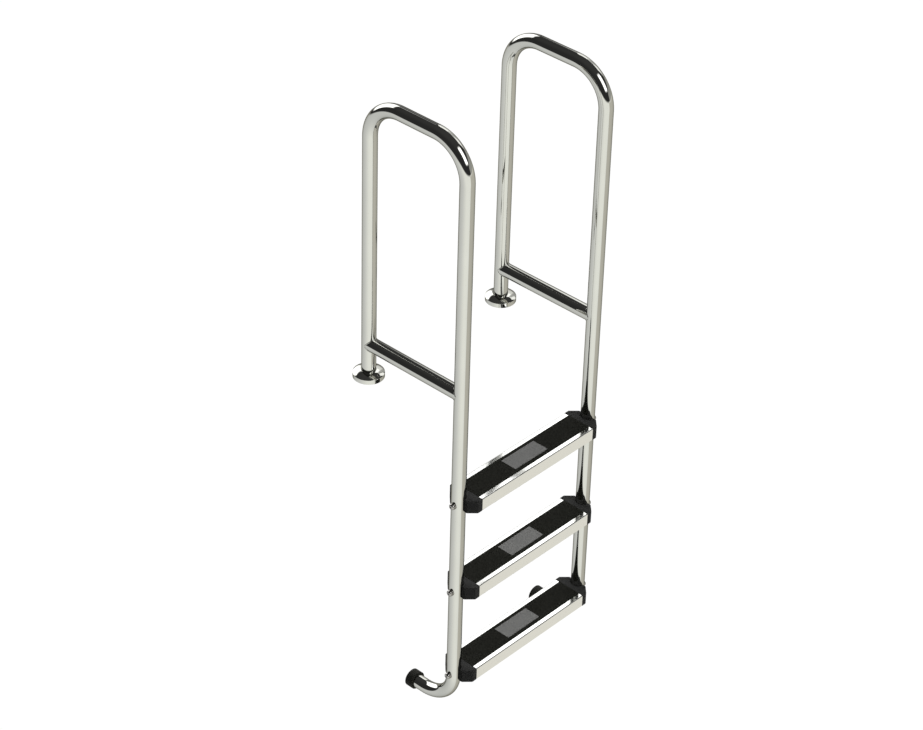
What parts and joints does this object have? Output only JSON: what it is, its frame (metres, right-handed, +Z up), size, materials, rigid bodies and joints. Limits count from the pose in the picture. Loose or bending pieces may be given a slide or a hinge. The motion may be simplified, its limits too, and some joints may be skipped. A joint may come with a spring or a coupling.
{
  "type": "pool ladder",
  "caption": "In-pool ladder with bent tube side rails that form handrails, non-slip treads, deck base plates under low domed covers and rubber wall bumpers.",
  "frame": {"origin": "on the pool deck, midway between the undersides of the two base plates", "axes": "+Z up, +Y from the pool towards the deck, +X from the left rail to the right rail as seen from the pool"},
  "size_m": [0.603, 0.4289, 1.8323],
  "materials": {
    "polished_steel": "mirror polished stainless steel",
    "satin_steel": "satin stainless steel",
    "black_plastic": "fine textured moulded plastic",
    "black_rubber": "matt ribbed rubber",
    "grey_grip": "rough grey grip pad"
  },
  "bodies": {
    "root": {"left_side_rail": "polished_steel", "left_cross_brace": "polished_steel", "left_base_plate": "satin_steel", "left_wall_bumper": "black_rubber", "right_side_rail": "polished_steel", "right_cross_brace": "polished_steel", "right_base_plate": "satin_steel", "right_wall_bumper": "black_rubber", "tread_1_tray": "polished_steel", "tread_1_mat": "black_rubber", "tread_1_centre_patch": "grey_grip", "tread_1_left_end_cap": "black_plastic", "tread_1_left_bolt": "satin_steel", "tread_1_left_saddle_washer": "satin_steel", "tread_1_left_nut": "satin_steel", "tread_1_right_end_cap": "black_plastic", "tread_1_right_bolt": "satin_steel", "tread_1_right_saddle_washer": "satin_steel", "tread_1_right_nut": "satin_steel", "tread_2_tray": "polished_steel", "tread_2_mat": "black_rubber", "tread_2_centre_patch": "grey_grip", "tread_2_left_end_cap": "black_plastic", "tread_2_left_bolt": "satin_steel", "tread_2_left_saddle_washer": "satin_steel", "tread_2_left_nut": "satin_steel", "tread_2_right_end_cap": "black_plastic", "tread_2_right_bolt": "satin_steel", "tread_2_right_saddle_washer": "satin_steel", "tread_2_right_nut": "satin_steel", "tread_3_tray": "polished_steel", "tread_3_mat": "black_rubber", "tread_3_centre_patch": "grey_grip", "tread_3_left_end_cap": "black_plastic", "tread_3_left_bolt": "satin_steel", "tread_3_left_saddle_washer": "satin_steel", "tread_3_left_nut": "satin_steel", "tread_3_right_end_cap": "black_plastic", "tread_3_right_bolt": "satin_steel", "tread_3_right_saddle_washer": "satin_steel", "tread_3_right_nut": "satin_steel"},
    "left_cover": {"left_flange_cover": "polished_steel"},
    "right_cover": {"right_flange_cover": "polished_steel"}
  },
  "joints": [
    {"name": "left_cover_slide", "type": "slide", "parent": "root", "child": "left_cover", "axis": [0, 0, 1], "range_m": [0, 0.055]},
    {"name": "right_cover_slide", "type": "slide", "parent": "root", "child": "right_cover", "axis": [0, 0, 1], "range_m": [0, 0.055]}
  ]
}
